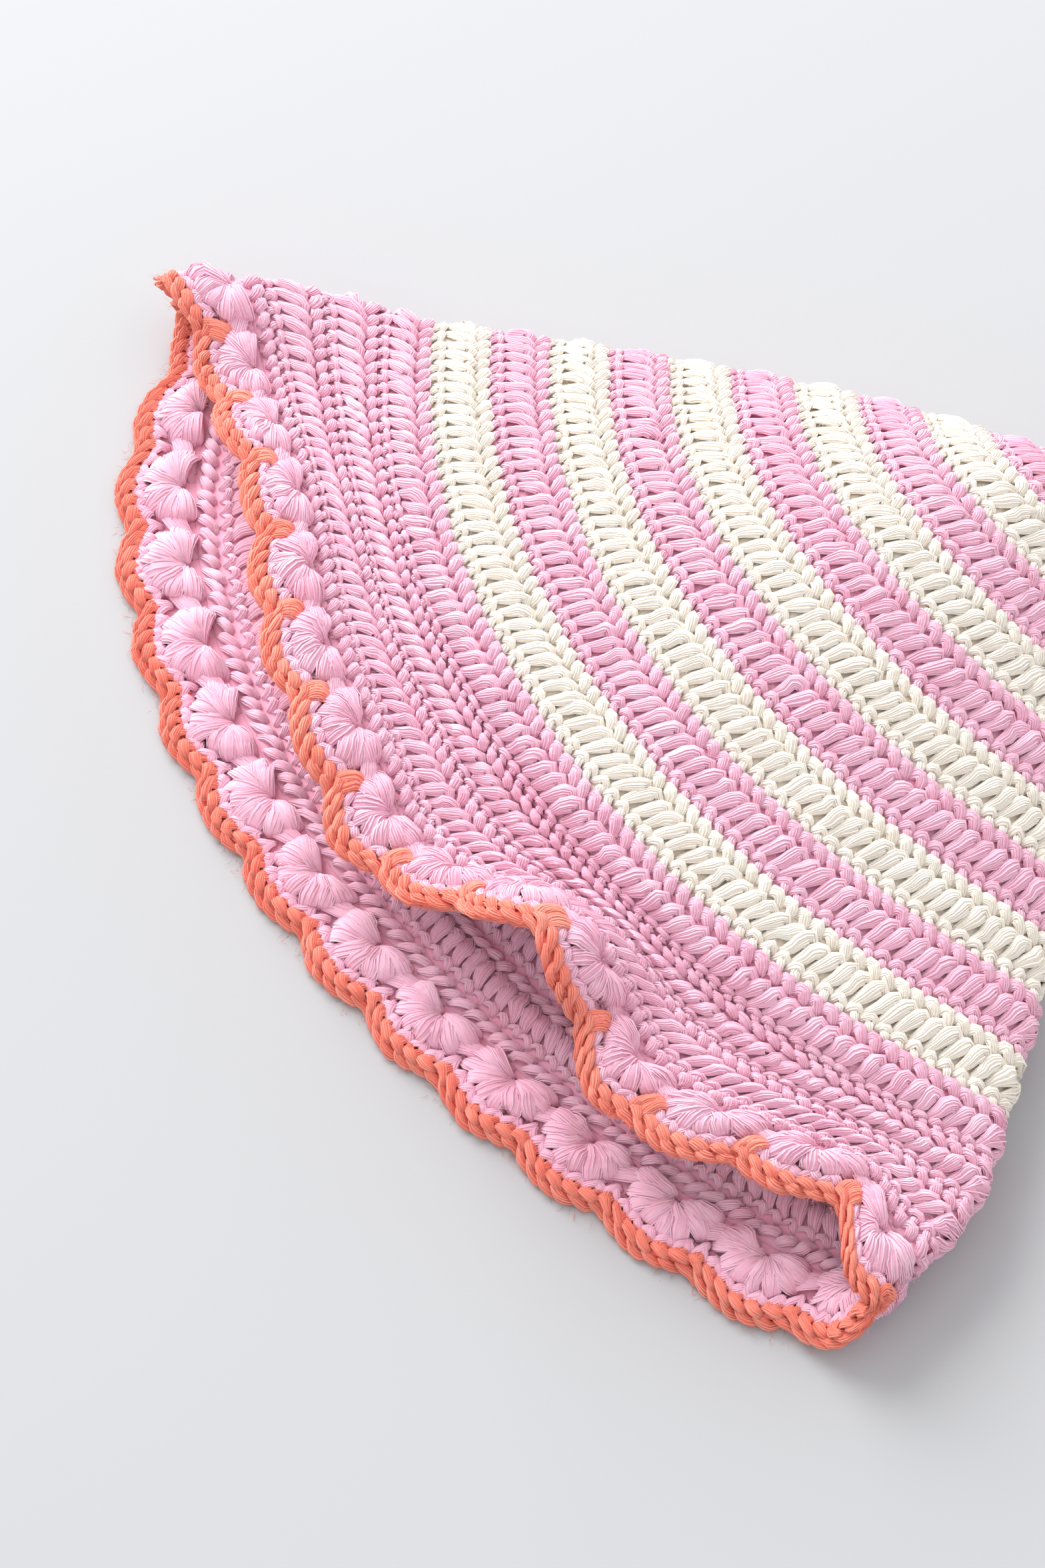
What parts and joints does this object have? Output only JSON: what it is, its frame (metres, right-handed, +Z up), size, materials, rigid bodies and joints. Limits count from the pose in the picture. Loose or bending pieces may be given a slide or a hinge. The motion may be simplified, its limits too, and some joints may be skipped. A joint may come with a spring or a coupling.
{
  "type": "crocheted sun hat",
  "caption": "Crocheted cotton sun hat with a striped domed crown and a scalloped brim, lying flattened on its side.",
  "frame": {"origin": "on the table under the middle of the hat's box", "axes": "+Z up off the table, +X from the crown towards the head opening and brim, +Y across the flattened hat"},
  "size_m": [0.2332, 0.3411, 0.0452],
  "materials": {
    "cream_cotton": "matte, soft plied cotton yarn",
    "pink_cotton": "matte, soft plied cotton yarn",
    "coral_cotton": "matte, soft plied cotton yarn"
  },
  "bodies": {
    "root": {"crown_centre": "cream_cotton", "crown_01_short_round": "pink_cotton", "crown_01_tall_round": "pink_cotton", "crown_02_short_round": "cream_cotton", "crown_02_tall_round": "cream_cotton", "crown_03_short_round": "pink_cotton", "crown_03_tall_round": "pink_cotton", "crown_04_short_round": "cream_cotton", "crown_04_tall_round": "cream_cotton", "crown_05_short_round": "pink_cotton", "crown_05_tall_round": "pink_cotton", "crown_06_short_round": "cream_cotton", "crown_06_tall_round": "cream_cotton", "crown_07_short_round": "pink_cotton", "crown_07_tall_round": "pink_cotton", "crown_08_short_round": "cream_cotton", "crown_08_tall_round": "cream_cotton", "crown_09_short_round": "pink_cotton", "crown_09_tall_round": "pink_cotton", "crown_10_short_round": "cream_cotton", "crown_10_tall_round": "cream_cotton", "brim_1_short_round": "pink_cotton", "brim_1_tall_round": "pink_cotton", "brim_2_short_round": "pink_cotton", "brim_2_tall_round": "pink_cotton", "brim_3_short_round": "pink_cotton", "brim_3_tall_round": "pink_cotton", "brim_4_short_round": "pink_cotton", "fan_round": "pink_cotton", "coral_edging": "coral_cotton"}
  },
  "joints": []
}
